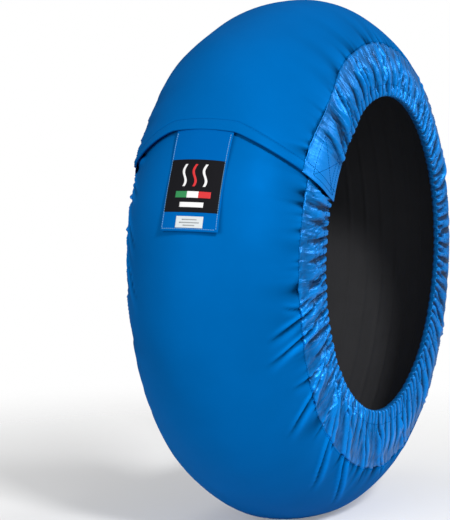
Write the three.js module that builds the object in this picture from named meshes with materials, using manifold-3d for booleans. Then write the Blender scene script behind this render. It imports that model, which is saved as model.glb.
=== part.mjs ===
// Electric warmer for the rear tyre of a track motorcycle, in the shape that it takes on a wheel.
// A padded band wraps the tread and laps over itself at a touch-and-close flap, and a gathered skirt
// covers each sidewall down to an elastic hem. Between the padding and the inner lining a resistance
// wire runs four times round. Millimetres, +Z up. The wheel's axle would lie along Y, the flap and its
// tab face -X, and the origin is the centre of the flat patch that the warmer stands on.
//
// Every piece is a strip laid on one surface: an angle round the axle, counted from the front (-X)
// upwards, a distance across the band from its centre line (plus is the near side, -Y), and a depth
// below the outer face. The band laps, so its angle runs from one turn below the flap's edge to the
// under end.

import * as THREE from "three";
import { mergeVertices } from "three/addons/utils/BufferGeometryUtils.js";
import Module from "manifold-3d";

const wasm = await Module();
wasm.setup();

// Overall shape
const OUTER_DIAMETER = 664; // over the padded tread
const SIDE_REACH = 118; // from the middle plane to the widest point of a side
const SHOULDER_RISE = 103; // from the widest point out to the crown
const HEM_DIAMETER = 397; // the opening that the elastic leaves for the rim
const HEM_LIFT = 13; // how far the hems sit above the axle
const STANDING_SAG = 7; // how far the crown flattens where it stands
const SEAM_ACROSS = 132; // centre line to the seam of a skirt, over the curve
const SEAM_SWAY = 8; // the band is this much wider low at the front than high at the back
const SEAM_WIDEST_ANGLE = -35;
const FACET_SHARES = [0, 0.3, 0.55]; // where the facets of the band meet, as shares of the way to its seam

// Layers, from the outside in
const COVER_THICKNESS = 2.5;
const PAD_THICKNESS = 6;
const WIRE_THICKNESS = 2;
const LINING_THICKNESS = 1;
const SKIRT_THICKNESS = 1.2;
const LAYER_GAP = 0.4; // what is left between pieces that lie on each other
const PAD_HALF_WIDTH = 100;
const PAD_EDGE_MARGIN = 3; // past the padding the lining turns up to the cover
const BUTT_GAP_ANGLE = 1.5; // between the two ends of the padding

// Facets
const OUTER_STEP = 7.5; // degrees a facet, cover and skirts
const INNER_STEP = 15; // degrees a facet, layers under the cover
const PLEAT_STEP = 2.5; // degrees from a fold's crest to its valley

// Closure
const UNDER_END_ANGLE = 52.5; // the end that lies under the flap
const FLAP_EDGE_ANGLE = 31.2; // the flap's edge over the tread
const FLAP_SHOULDER = 40; // the edge is straight as far as this from the centre line
const FLAP_SLOPE = 0.054; // degrees that the edge drops for each mm past there
const RAMP_END_ANGLE = 67.5; // where the flap has come down to the band
const TAPE_THICKNESS = 1.2; // touch-and-close tape
const TAPE_HALF_WIDTH = 90;
const TAPE_ANGLES = [36, 50];
const CORNER_ANGLES = [27, 38];
const CORNER_TAPE_WIDTH = 44;
const CORNER_TAPE_MARGIN = 14; // from the hem

// Gathers of a skirt: distance across from the seam, and half the height of a fold there
const SKIRT_END_MARGIN = 0.5; // clearance to the cover's edge
const PLEAT_ROWS = [
  [0, 0.5],
  [32, 3.0],
];
const HEM_PLEAT = 1.4;
const HEM_FOLD_DEPTH = 11; // the hem turns in by this much round its elastic
const ELASTIC_DIAMETER = 5;
const ELASTIC_ANGLES = [-300, 45];

// Tab and its labels
const TAB_ACROSS = [-33, 38];
const TAB_TOP_ANGLE = 34.5;
const TAB_BOTTOM_ANGLE = 10.2;
const TAB_THICKNESS = 1.4;
const TAB_STAND_OFF = 2.2; // the loose end lifts off the band
const LABEL_THICKNESS = 0.6;
const PATCH_ANGLES = [14, 24.8];
const PATCH_MARGIN = 2;
const CARE_ANGLES = [10.9, 13.2];
const CARE_ACROSS = [-13, 20];

// Heater and its supply
const WIRE_WIDTH = 2.4;
const WIRE_LANES = [-75, -25, 25, 75];
const WIRE_ENDS = [-297, 46];
const THERMOSTAT_ANGLES = [68, 73];
const THERMOSTAT_ACROSS = [-96, -83];
const THERMOSTAT_THICKNESS = 4.6;
const POCKET_CLEARANCE = 0.5;
const GROMMET_ANGLE = 82.5;
const GROMMET_MARGIN = 9; // from the padding's edge
const GROMMET_BORE_RADIUS = 3;
const GROMMET_NECK_RADIUS = 4.6;
const GROMMET_FLANGE_RADIUS = 7;
const GROMMET_FLANGE = 1.6;
const LEAD_WIDTH = 1.8;
const LEAD_THICKNESS = 1.4;
const RETURN_ANGLE = 59; // where the return lead crosses the band, clear of the wire's turns

// What follows from these
const CROWN_RADIUS = OUTER_DIAMETER / 2;
const AXLE_HEIGHT = CROWN_RADIUS - STANDING_SAG;
const SIDE_RADIUS = CROWN_RADIUS - SHOULDER_RISE;
const HEM_RADIUS = HEM_DIAMETER / 2;
const FLAP_GAP = 3 * LAYER_GAP + 2 * TAPE_THICKNESS; // under the flap, for the two tapes
const PAD_TOP = COVER_THICKNESS + LAYER_GAP;
const WIRE_TOP = PAD_TOP + PAD_THICKNESS + LAYER_GAP;
const LINING_TOP = WIRE_TOP + WIRE_THICKNESS + LAYER_GAP;
const GROMMET_ACROSS = -PAD_HALF_WIDTH - GROMMET_MARGIN;
const TURN = 360;

// Half of the band's section, from the crown over the shoulder and down the side past the hem.
const shoulder = new THREE.EllipseCurve(SIDE_RADIUS, 0, SHOULDER_RISE, SIDE_REACH, 0, Math.PI / 2);
const sideEnd = HEM_RADIUS - HEM_FOLD_DEPTH;
const side = new THREE.LineCurve(
  new THREE.Vector2(SIDE_RADIUS, SIDE_REACH),
  new THREE.Vector2(sideEnd, SIDE_REACH),
);
const section = new THREE.CurvePath();
section.add(shoulder);
section.add(side);
const SECTION_LENGTH = section.getLength();
const HEM_ACROSS = SECTION_LENGTH - HEM_FOLD_DEPTH;
const BAND_NODES = FACET_SHARES.map((share) => share * SEAM_ACROSS).concat(
  PAD_HALF_WIDTH + PAD_EDGE_MARGIN,
  SEAM_ACROSS,
);
const ACROSS_NODES = BAND_NODES.concat(SEAM_ACROSS + PLEAT_ROWS[1][0], HEM_ACROSS, SECTION_LENGTH);
const NEGATIVE_NODES = ACROSS_NODES.map((s) => -s).reverse();

const radians = THREE.MathUtils.degToRad;
const { clamp, lerp, smoothstep } = THREE.MathUtils;

// The band is cut wider in one place and narrower opposite, and the skirt takes up the difference.
function sway(angle, across) {
  const shift = SEAM_SWAY * Math.cos(radians(angle - SEAM_WIDEST_ANGLE));
  const inBand = clamp(across / SEAM_ACROSS, 0, 1);
  const inSkirt = clamp((HEM_ACROSS - across) / (HEM_ACROSS - SEAM_ACROSS), 0, 1);
  return across + shift * Math.min(inBand, inSkirt);
}

// The point at an angle, a distance across and a depth, on the true curved surface.
function curvedPoint(angle, across, depth) {
  const along = clamp(sway(angle, Math.abs(across)), 0, SECTION_LENGTH) / SECTION_LENGTH;
  const onSection = section.getPointAt(along);
  const tangent = section.getTangentAt(along);
  const radius = onSection.x - depth * tangent.y;
  const reach = onSection.y + depth * tangent.x;
  const turn = radians(angle);
  const downSide = clamp((CROWN_RADIUS - onSection.x) / (CROWN_RADIUS - HEM_RADIUS), 0, 1);
  const lift = HEM_LIFT * downSide * downSide;
  const faceHeight = AXLE_HEIGHT + onSection.x * Math.sin(turn) + lift;
  return new THREE.Vector3(
    -radius * Math.cos(turn),
    -Math.sign(across) * reach,
    AXLE_HEIGHT + radius * Math.sin(turn) + lift + Math.max(0, -faceHeight),
  );
}

// The same point on the facets, so that strips with different edges still lie flat on each other.
const nodeCache = new Map();
function nodePoint(angle, across, depth) {
  const key = `${angle} ${across} ${depth}`;
  if (!nodeCache.has(key)) nodeCache.set(key, curvedPoint(angle, across, depth));
  return nodeCache.get(key);
}

function place(angle, across, depth, step = OUTER_STEP) {
  const cell = Math.floor(angle / step + 1e-9);
  const u = angle / step - cell;
  const lines = across < 0 ? NEGATIVE_NODES : ACROSS_NODES;
  let j = 0;
  while (j < lines.length - 2 && across > lines[j + 1]) j += 1;
  const v = (across - lines[j]) / (lines[j + 1] - lines[j]);
  const corner = (di, dj) => nodePoint((cell + di) * step, lines[j + dj], depth);
  const third = u > v ? corner(1, 0) : corner(0, 1);
  return new THREE.Vector3()
    .addScaledVector(corner(0, 0), 1 - Math.max(u, v))
    .addScaledVector(third, Math.abs(u - v))
    .addScaledVector(corner(1, 1), Math.min(u, v));
}

// A closed mesh from rings of points and two caps. Where a ring folds back at the point named, the
// diagonals mirror, so that both faces of a sheet crease along the same lines.
function skin(rings, caps, fold = rings[0].length) {
  const count = rings[0].length;
  const positions = rings.flat().flatMap((p) => [p.x, p.y, p.z]);
  const indices = [];
  for (let i = 0; i + 1 < rings.length; i += 1) {
    for (let j = 0; j < count; j += 1) {
      const a = i * count + j;
      const b = i * count + ((j + 1) % count);
      if (j < fold) indices.push(a, b, b + count, a, b + count, a + count);
      else indices.push(a, b, a + count, b, b + count, a + count);
    }
  }
  const last = (rings.length - 1) * count;
  for (const [a, b, c] of caps) indices.push(a, c, b, last + a, last + b, last + c);
  const geometry = new THREE.BufferGeometry();
  geometry.setAttribute("position", new THREE.Float32BufferAttribute(positions, 3));
  geometry.setIndex(indices);
  return withoutSlivers(geometry);
}

// Points that fall together become one, and the triangles between them go.
function withoutSlivers(geometry) {
  const merged = mergeVertices(geometry, 1e-4);
  const index = Array.from(merged.index.array);
  const kept = [];
  for (let i = 0; i < index.length; i += 3) {
    const [a, b, c] = index.slice(i, i + 3);
    if (a !== b && b !== c && c !== a) kept.push(a, b, c);
  }
  merged.setIndex(kept);
  merged.computeVertexNormals();
  return merged;
}

// A strip of cloth or tape. columns run round the axle and rows across, and at(column, row) gives
// its outer and inner corner, each as angle, distance across and depth.
function strip(columns, rows, at, step = OUTER_STEP) {
  const corner = ([angle, across, depth]) => place(angle, across, depth, step);
  const rings = columns.map((u) => {
    const pairs = rows.map((v) => at(u, v));
    const outer = pairs.map((pair) => corner(pair[0]));
    const inner = pairs.map((pair) => corner(pair[1])).reverse();
    return outer.concat(inner);
  });
  const caps = [];
  for (let j = 0; j + 1 < rows.length; j += 1) {
    const back = 2 * rows.length - 1 - j;
    caps.push([j, back - 1, back], [j, j + 1, back - 1]);
  }
  return skin(rings, caps, rows.length);
}

// A strip between two depths, whose edges follow the facets of the surface.
function patch(angles, across, top, thickness, step = OUTER_STEP) {
  const at = (angle, s) => [
    [angle, s, top],
    [angle, s, top + thickness],
  ];
  return strip(anglesBetween(angles[0], angles[1], step), acrossBetween(...across), at, step);
}

// Both ends and every facet line between them.
function anglesBetween(from, to, step = OUTER_STEP) {
  const list = [from];
  for (let k = Math.floor(from / step) + 1; k * step < to - 1e-6; k += 1) list.push(k * step);
  return list.concat(to);
}

function acrossBetween(from, to) {
  const lines = ACROSS_NODES.concat(ACROSS_NODES.map((s) => -s)).sort((a, b) => a - b);
  return [from, ...lines.filter((s, i) => s > from + 1 && s < to - 1 && s !== lines[i - 1]), to];
}

// How far the flap has risen at an angle: 1 over the under end, down to 0 past the ramp.
function raised(angle) {
  return 1 - clamp((angle + TURN - UNDER_END_ANGLE) / (RAMP_END_ANGLE - UNDER_END_ANGLE), 0, 1);
}

// The flap's edge is straight over the tread and drops towards both hems.
function flapEdge(across) {
  return FLAP_EDGE_ANGLE - FLAP_SLOPE * Math.max(0, Math.abs(across) - FLAP_SHOULDER) - TURN;
}

// Columns from the flap's edge to the under end. Those that a row's edge has passed close up on it.
function bandColumns(step, widest) {
  return anglesBetween(flapEdge(widest), UNDER_END_ANGLE, step);
}

function outerCover() {
  const rise = FLAP_GAP + COVER_THICKNESS;
  const rows = mirrored(BAND_NODES);
  const band = strip(bandColumns(OUTER_STEP, SEAM_ACROSS), rows, (column, s) => {
    const angle = Math.max(column, flapEdge(s));
    const top = -rise * raised(angle);
    return [
      [angle, s, top],
      [angle, s, top + COVER_THICKNESS],
    ];
  });
  const holeRadius = GROMMET_NECK_RADIUS + LAYER_GAP;
  const hole = new THREE.CylinderGeometry(holeRadius, holeRadius, 4 * COVER_THICKNESS, 12);
  return toGeometry(toSolid(band).subtract(toSolid(hole.applyMatrix4(grommetSeat()))));
}

function mirrored(distances) {
  return distances.slice(1).reverse().map((s) => -s).concat(distances);
}

function insulationPad() {
  const angles = [UNDER_END_ANGLE + BUTT_GAP_ANGLE - TURN, UNDER_END_ANGLE];
  const across = [-PAD_HALF_WIDTH, PAD_HALF_WIDTH];
  const pad = patch(angles, across, PAD_TOP, PAD_THICKNESS, INNER_STEP);
  const widen = POCKET_CLEARANCE / radians(CROWN_RADIUS);
  const pocket = patch(
    [THERMOSTAT_ANGLES[0] - widen - TURN, THERMOSTAT_ANGLES[1] + widen - TURN],
    [THERMOSTAT_ACROSS[0] - POCKET_CLEARANCE, THERMOSTAT_ACROSS[1] + POCKET_CLEARANCE],
    PAD_TOP + PAD_THICKNESS - THERMOSTAT_THICKNESS - POCKET_CLEARANCE,
    THERMOSTAT_THICKNESS + 2 * POCKET_CLEARANCE,
    INNER_STEP,
  );
  return toGeometry(toSolid(pad).subtract(toSolid(pocket)));
}

function thermostat() {
  const angles = THERMOSTAT_ANGLES.map((a) => a - TURN);
  const top = PAD_TOP + PAD_THICKNESS - THERMOSTAT_THICKNESS;
  return patch(angles, THERMOSTAT_ACROSS, top, THERMOSTAT_THICKNESS, INNER_STEP);
}

// The lining comes up to the cover at its edges, where the two are sewn together.
function innerLining() {
  const edge = SEAM_ACROSS - 3 * LINING_THICKNESS;
  const rows = mirrored(BAND_NODES.slice(0, -1).concat(edge));
  const from = UNDER_END_ANGLE + BUTT_GAP_ANGLE - TURN;
  const at = (angle, s) => {
    const top = Math.abs(s) < edge ? LINING_TOP : PAD_TOP;
    return [
      [angle, s, top],
      [angle, s, top + LINING_THICKNESS],
    ];
  };
  return strip(anglesBetween(from, UNDER_END_ANGLE, INNER_STEP), rows, at, INNER_STEP);
}

// A flat wire laid along a path of angle, distance across and depth, with mitred corners.
const WIRE_DEGREE = radians(CROWN_RADIUS - WIRE_TOP); // millimetres round for a degree
function wireAlong(path, width, thickness) {
  const flat = path.map(([angle, s]) => new THREE.Vector2(angle * WIRE_DEGREE, s));
  const sideways = flat.map((p, i) => {
    const into = p.clone().sub(flat[Math.max(i - 1, 0)]);
    const out = flat[Math.min(i + 1, flat.length - 1)].clone().sub(p);
    const a = (i === 0 ? out : into).normalize();
    const b = (i === flat.length - 1 ? into : out).normalize();
    const bisector = new THREE.Vector2(-(a.y + b.y), a.x + b.x).normalize();
    return bisector.divideScalar(Math.max(bisector.dot(new THREE.Vector2(-a.y, a.x)), 0.5));
  });
  const at = (i, v) => {
    const [angle, s, top] = path[i];
    const to = [angle + (sideways[i].x * v * width) / WIRE_DEGREE, s + sideways[i].y * v * width];
    return [
      [...to, top],
      [...to, top + thickness],
    ];
  };
  const columns = path.map((_, i) => i);
  return strip(columns, [-0.5, 0.5], at, INNER_STEP);
}

// A path through the corners named, with a point on each facet line that a leg crosses.
function route(corners) {
  const path = [corners[0]];
  for (let i = 0; i + 1 < corners.length; i += 1) {
    const [fromAngle, fromAcross, fromTop] = corners[i];
    const [toAngle, toAcross, toTop] = corners[i + 1];
    const shares = [1];
    if (fromAcross === toAcross) {
      const low = Math.min(fromAngle, toAngle);
      const lines = anglesBetween(low, Math.max(fromAngle, toAngle), INNER_STEP).slice(1, -1);
      lines.forEach((angle) => shares.push((angle - fromAngle) / (toAngle - fromAngle)));
      const creased = creaseAngles(low, Math.max(fromAngle, toAngle), fromAcross, fromTop);
      creased.forEach((angle) => shares.push((angle - fromAngle) / (toAngle - fromAngle)));
    } else if (fromAngle === toAngle) {
      const low = Math.min(fromAcross, toAcross);
      const lines = acrossBetween(low, Math.max(fromAcross, toAcross)).slice(1, -1);
      lines.forEach((s) => shares.push((s - fromAcross) / (toAcross - fromAcross)));
    }
    shares.sort((a, b) => a - b);
    for (const share of shares) {
      path.push([
        lerp(fromAngle, toAngle, share),
        lerp(fromAcross, toAcross, share),
        lerp(fromTop, toTop, share),
      ]);
    }
  }
  return path;
}

// Where a lane crosses a facet that the flat foot has creased, it has to bend with it.
function creaseAngles(from, to, across, depth) {
  const lines = across < 0 ? NEGATIVE_NODES : ACROSS_NODES;
  const j = lines.findIndex((s, i) => across >= s && across < lines[i + 1]);
  const v = (across - lines[j]) / (lines[j + 1] - lines[j]);
  const angles = [];
  for (let cell = Math.ceil(from / INNER_STEP); (cell + 1) * INNER_STEP < to; cell += 1) {
    const at = (u) => place((cell + u) * INNER_STEP, across, depth, INNER_STEP);
    const straight = at(0).lerp(at(1 - 1e-6), v);
    if (straight.distanceTo(at(v)) > LAYER_GAP / 4) angles.push((cell + v) * INNER_STEP);
  }
  return angles;
}

// Four lanes round the tread, joined end to end in U-turns.
function heaterWire() {
  const corners = WIRE_LANES.flatMap((s, lane) => {
    const ends = WIRE_ENDS.map((angle) => [angle, s, WIRE_TOP]);
    return lane % 2 === 0 ? ends : ends.reverse();
  });
  return wireAlong(route(corners), WIRE_WIDTH, WIRE_THICKNESS);
}

// Three short leads: grommet to thermostat, thermostat to the wire, and the wire's end back.
const GROMMET_UNDERSIDE = COVER_THICKNESS + LAYER_GAP + GROMMET_FLANGE;
const LEAD_TOP = GROMMET_UNDERSIDE + LAYER_GAP;
const LEAD_EDGE = -PAD_HALF_WIDTH - PAD_EDGE_MARGIN / 3;
const GAP_ANGLE = LAYER_GAP / WIRE_DEGREE;
const WIRE_START = WIRE_ENDS[0] + TURN;
const supplyAcross = (THERMOSTAT_ACROSS[0] + THERMOSTAT_ACROSS[1]) / 2;
function lead(corners) {
  const path = route(corners.map(([angle, s, top]) => [angle - TURN, s, top ?? WIRE_TOP]));
  return wireAlong(path, LEAD_WIDTH, LEAD_THICKNESS);
}

function supplyLead() {
  const angle = GROMMET_ANGLE + 0.5;
  return lead([
    [angle, GROMMET_ACROSS, LEAD_TOP],
    [angle, LEAD_EDGE],
    [THERMOSTAT_ANGLES[1] + 3, supplyAcross],
    [THERMOSTAT_ANGLES[1] + GAP_ANGLE, supplyAcross],
  ]);
}

function thermostatLink() {
  return lead([
    [THERMOSTAT_ANGLES[0] - GAP_ANGLE, supplyAcross],
    [THERMOSTAT_ANGLES[0] - 1.5, supplyAcross],
    [WIRE_START - 1.5, supplyAcross],
    [WIRE_START - 1.5, WIRE_LANES[0]],
    [WIRE_START - GAP_ANGLE, WIRE_LANES[0]],
  ]);
}

function returnLead() {
  const lastLane = WIRE_LANES[WIRE_LANES.length - 1];
  return lead([
    [WIRE_START - GAP_ANGLE, lastLane],
    [RETURN_ANGLE, lastLane],
    [RETURN_ANGLE, LEAD_EDGE],
    [RETURN_ANGLE, GROMMET_ACROSS, LEAD_TOP],
    [GROMMET_ANGLE - 0.1, GROMMET_ACROSS, LEAD_TOP],
  ]);
}

// Skirt from the seam to the hem, with sharp gathers that die out where the two ends lap.
function sideSkirt(sign) {
  const rows = PLEAT_ROWS.map(([distance, height], i) => ({
    across: SEAM_ACROSS + distance + (i === 0 ? SKIRT_END_MARGIN : 0),
    height,
  }));
  rows.push({ across: HEM_ACROSS, height: HEM_PLEAT, corner: true }, { across: HEM_ACROSS, fold: true });
  if (sign < 0) rows.reverse();
  const columns = bandColumns(PLEAT_STEP, HEM_ACROSS);
  return strip(columns, rows, (column, row) => {
    const angle = Math.max(column, flapEdge(row.across));
    const up = raised(angle);
    const top = -(FLAP_GAP + SKIRT_THICKNESS) * up;
    const pleat = row.height ? gather(angle) * row.height : 0;
    const wrap = row.corner || row.fold ? (SKIRT_THICKNESS + 1.5 * LAYER_GAP) * up : 0;
    const s = row.across + wrap;
    if (row.fold) {
      return [
        [angle, sign * s, HEM_FOLD_DEPTH],
        [angle, sign * (s - SKIRT_THICKNESS), HEM_FOLD_DEPTH],
      ];
    }
    const back = row.corner ? SKIRT_THICKNESS : 0;
    return [
      [angle, sign * s, top + pleat],
      [angle, sign * (s - back), top + pleat + SKIRT_THICKNESS],
    ];
  });
}

// Crest or valley of the fold at an angle, from -1 to 1, uneven as real gathers are.
function gather(angle) {
  const index = Math.round(angle / PLEAT_STEP);
  const uneven = 0.72 + 0.28 * Math.sin(1.7 * index) * Math.cos(0.6 * index);
  const fromFlap = smoothstep(angle + TURN, 40, 50);
  const fromUnder = 1 - smoothstep(angle, 14, 22);
  return (index % 2 === 0 ? 1 : -1) * uneven * fromFlap * fromUnder;
}

// Round cord inside the fold of a hem, open where the warmer opens.
function hemElastic(sign) {
  const radius = ELASTIC_DIAMETER / 2;
  const chordSag = HEM_RADIUS * (1 - Math.cos(radians(OUTER_STEP)));
  const across = HEM_ACROSS - SKIRT_THICKNESS - LAYER_GAP - chordSag - radius;
  const depth = SKIRT_THICKNESS + HEM_PLEAT + LAYER_GAP + radius;
  const sides = 5;
  const rings = anglesBetween(ELASTIC_ANGLES[0], ELASTIC_ANGLES[1], INNER_STEP).map((angle) => {
    const ring = [];
    for (let k = 0; k < sides; k += 1) {
      const turn = (TURN * k) / sides;
      const outwards = radius * Math.cos(radians(turn));
      const inwards = radius * Math.sin(radians(turn));
      ring.push(place(angle, sign * (across + outwards), depth + inwards, INNER_STEP));
    }
    return sign > 0 ? ring : ring.reverse();
  });
  const caps = [];
  for (let k = 1; k + 1 < sides; k += 1) caps.push([0, k, k + 1]);
  return skin(rings, caps);
}

// Touch-and-close tape: the loop half lies on the under end, the hook half below the flap.
const loopTop = -LAYER_GAP - TAPE_THICKNESS;
const hookTop = loopTop - LAYER_GAP - TAPE_THICKNESS;
const closureTape = (top) => patch(TAPE_ANGLES, [-TAPE_HALF_WIDTH, TAPE_HALF_WIDTH], top, TAPE_THICKNESS);
function cornerTape(sign, top) {
  const edge = HEM_ACROSS - CORNER_TAPE_MARGIN;
  const across = sign > 0 ? [edge - CORNER_TAPE_WIDTH, edge] : [-edge, CORNER_TAPE_WIDTH - edge];
  return patch(CORNER_ANGLES, across, top, TAPE_THICKNESS);
}

// The tab hangs from below the flap's edge, lies on the band and lifts at its loose end.
function tabDepth(angle) {
  const onBand = -LAYER_GAP - TAB_THICKNESS;
  const sewn = -FLAP_GAP + LAYER_GAP;
  if (angle > 22.5) return lerp(onBand - LAYER_GAP, sewn, smoothstep(angle, 22.5, 30));
  const loose = clamp((22.5 - angle) / (22.5 - TAB_BOTTOM_ANGLE), 0, 1);
  return onBand - LAYER_GAP - TAB_STAND_OFF * loose * loose;
}

function onTab(angles, across, above, thickness) {
  const at = (angle, s) => [
    [angle, s, tabDepth(angle) - above - thickness],
    [angle, s, tabDepth(angle) - above],
  ];
  return strip(anglesBetween(angles[0], angles[1]), acrossBetween(...across), at);
}

function pullTab() {
  return onTab([TAB_BOTTOM_ANGLE, TAB_TOP_ANGLE], TAB_ACROSS, -TAB_THICKNESS, TAB_THICKNESS);
}

// Frame of the cable's grommet: its Y axis is the outward normal of the cover there.
function grommetSeat() {
  const at = (angle, across, depth) => place(angle - TURN, across, depth);
  const centre = at(GROMMET_ANGLE, GROMMET_ACROSS, 0);
  const inside = at(GROMMET_ANGLE, GROMMET_ACROSS, COVER_THICKNESS);
  const normal = centre.clone().sub(inside).normalize();
  const turned = new THREE.Quaternion().setFromUnitVectors(new THREE.Vector3(0, 1, 0), normal);
  return new THREE.Matrix4().compose(centre, turned, new THREE.Vector3(1, 1, 1));
}

// Turned profile: a bore, a flange on each face of the cover and a neck through it.
function cableGrommet() {
  const out = LAYER_GAP;
  const inside = -COVER_THICKNESS - LAYER_GAP;
  const profile = [
    [GROMMET_BORE_RADIUS, inside - GROMMET_FLANGE],
    [GROMMET_FLANGE_RADIUS, inside - GROMMET_FLANGE],
    [GROMMET_FLANGE_RADIUS, inside],
    [GROMMET_NECK_RADIUS, inside],
    [GROMMET_NECK_RADIUS, out],
    [GROMMET_FLANGE_RADIUS, out],
    [GROMMET_FLANGE_RADIUS - 1, out + GROMMET_FLANGE],
    [GROMMET_BORE_RADIUS, out + GROMMET_FLANGE],
    [GROMMET_BORE_RADIUS, inside - GROMMET_FLANGE],
  ].map(([radius, height]) => new THREE.Vector2(radius, height));
  return new THREE.LatheGeometry(profile, 12).applyMatrix4(grommetSeat());
}

// A closed three.js geometry as a solid, and back.
function toSolid(geometry) {
  const bare = new THREE.BufferGeometry();
  bare.setAttribute("position", geometry.getAttribute("position"));
  bare.setIndex(geometry.index);
  const merged = mergeVertices(bare, 1e-4);
  const mesh = new wasm.Mesh({
    numProp: 3,
    vertProperties: new Float32Array(merged.getAttribute("position").array),
    triVerts: new Uint32Array(merged.index.array),
  });
  return new wasm.Manifold(mesh);
}

function toGeometry(solid) {
  const mesh = solid.getMesh();
  const geometry = new THREE.BufferGeometry();
  geometry.setAttribute("position", new THREE.Float32BufferAttribute(mesh.vertProperties, 3));
  geometry.setIndex(new THREE.Uint32BufferAttribute(mesh.triVerts, 1));
  geometry.computeVertexNormals();
  return geometry;
}

const cloth = (color, roughness) => new THREE.MeshStandardMaterial({ color, roughness, metalness: 0 });
const coverNylon = cloth(0x0a6cc4, 0.6);
const skirtNylon = cloth(0x1878cf, 0.35);
const felt = cloth(0xb9b4a8, 0.95);
const liningCloth = cloth(0x26272a, 0.85);
const tape = cloth(0x101012, 0.95);
const patchCloth = cloth(0x15161b, 0.8);
const careCloth = cloth(0xd9d9d6, 0.7);
const rubber = cloth(0x151515, 0.7);
const redSleeve = cloth(0x8c1d18, 0.5);
const blackSleeve = cloth(0x1d1d1f, 0.5);
const heating = new THREE.MeshStandardMaterial({ color: 0x8a4b2a, roughness: 0.5, metalness: 0.6 });
const thermostatCase = new THREE.MeshStandardMaterial({ color: 0xb8bcc0, roughness: 0.35, metalness: 0.9 });

const patchAcross = [TAB_ACROSS[0] + PATCH_MARGIN, TAB_ACROSS[1] - PATCH_MARGIN];
const pieces = [
  ["outer_cover", outerCover(), coverNylon],
  ["insulation_pad", insulationPad(), felt],
  ["heater_wire", heaterWire(), heating],
  ["inner_lining", innerLining(), liningCloth],
  ["side_skirt_near", sideSkirt(1), skirtNylon],
  ["side_skirt_far", sideSkirt(-1), skirtNylon],
  ["hem_elastic_near", hemElastic(1), rubber],
  ["hem_elastic_far", hemElastic(-1), rubber],
  ["closure_loop_tape", closureTape(loopTop), tape],
  ["closure_hook_tape", closureTape(hookTop), tape],
  ["corner_loop_tape_near", cornerTape(1, loopTop), tape],
  ["corner_hook_tape_near", cornerTape(1, hookTop), tape],
  ["corner_loop_tape_far", cornerTape(-1, loopTop), tape],
  ["corner_hook_tape_far", cornerTape(-1, hookTop), tape],
  ["pull_tab", pullTab(), coverNylon],
  ["label_patch", onTab(PATCH_ANGLES, patchAcross, LAYER_GAP, LABEL_THICKNESS), patchCloth],
  ["care_label", onTab(CARE_ANGLES, CARE_ACROSS, LAYER_GAP, LABEL_THICKNESS), careCloth],
  ["thermostat", thermostat(), thermostatCase],
  ["cable_grommet", cableGrommet(), rubber],
  ["supply_lead", supplyLead(), redSleeve],
  ["thermostat_link", thermostatLink(), redSleeve],
  ["return_lead", returnLead(), blackSleeve],
];

const tyreWarmer = new THREE.Group();
for (const [name, geometry, material] of pieces) {
  const mesh = new THREE.Mesh(geometry, material);
  mesh.name = name;
  tyreWarmer.add(mesh);
}

export default tyreWarmer;
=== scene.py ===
import math

import bpy
import numpy as np
from mathutils import Matrix, Vector


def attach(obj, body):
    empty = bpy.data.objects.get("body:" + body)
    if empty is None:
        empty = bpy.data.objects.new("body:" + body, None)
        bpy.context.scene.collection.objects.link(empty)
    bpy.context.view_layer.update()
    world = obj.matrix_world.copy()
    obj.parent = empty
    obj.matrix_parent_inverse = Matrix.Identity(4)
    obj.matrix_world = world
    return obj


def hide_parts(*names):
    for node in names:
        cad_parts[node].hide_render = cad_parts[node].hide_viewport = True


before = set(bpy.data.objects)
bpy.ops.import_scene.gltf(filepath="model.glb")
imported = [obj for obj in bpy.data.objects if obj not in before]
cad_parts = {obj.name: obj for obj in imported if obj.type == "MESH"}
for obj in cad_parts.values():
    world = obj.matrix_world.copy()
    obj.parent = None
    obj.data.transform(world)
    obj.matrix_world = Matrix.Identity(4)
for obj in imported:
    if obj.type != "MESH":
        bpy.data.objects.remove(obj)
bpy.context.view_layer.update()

# surface of the band
MM = 0.001
AXLE = 325.0
SAG_RADIUS = 332.0
SIDE_REACH = 117.7
SIDE_RADIUS = 229.0
HEM_RADIUS = 198.5
HEM_LIFT = 13.0
FLAP_RISE = 5.4
UNDER_END = 52.5
TURN = 360.0
# the flap's edge lies at BAND_START degrees, and the band goes on from there for BAND_SPAN
BAND_START = -328.8
BAND_SPAN = 381.3
BAND_HALF = 124
# radii in mm that turn an angle into a length, at the side and at the flap
SIDE_MEAN = 285
FLAP_MEAN = 325
FOOT_SOFTNESS = 9.0
FOOT_DROP = 0.035

_t = np.linspace(0, 1, 4001) ** 1.3
_a = _t * math.pi / 2
_rho = SIDE_RADIUS + (SAG_RADIUS - SIDE_RADIUS) * np.cos(_a) ** (2 / 1.94)
_y = SIDE_REACH * np.sin(_a) ** (2 / 1.94)
_rho = np.append(_rho, np.linspace(SIDE_RADIUS - 0.5, 150, 300))
_y = np.append(_y, np.full(300, SIDE_REACH))
_s = np.append(0, np.cumsum(np.hypot(np.diff(_rho), np.diff(_y))))
_fine = np.linspace(0, _s[-1] - 1, 3000)
_R = np.interp(_fine, _s, _rho)
_Y = np.interp(_fine, _s, _y)
_dR = np.gradient(_R, _fine)
_dY = np.gradient(_Y, _fine)
_norm = np.hypot(_dR, _dY)
_kernel = np.ones(15) / 15
_dR = np.convolve(np.pad(_dR / _norm, 7, "edge"), _kernel, "valid")
_dY = np.convolve(np.pad(_dY / _norm, 7, "edge"), _kernel, "valid")
HEM_S = float(np.interp(-HEM_RADIUS, -_R, _fine))


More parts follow.
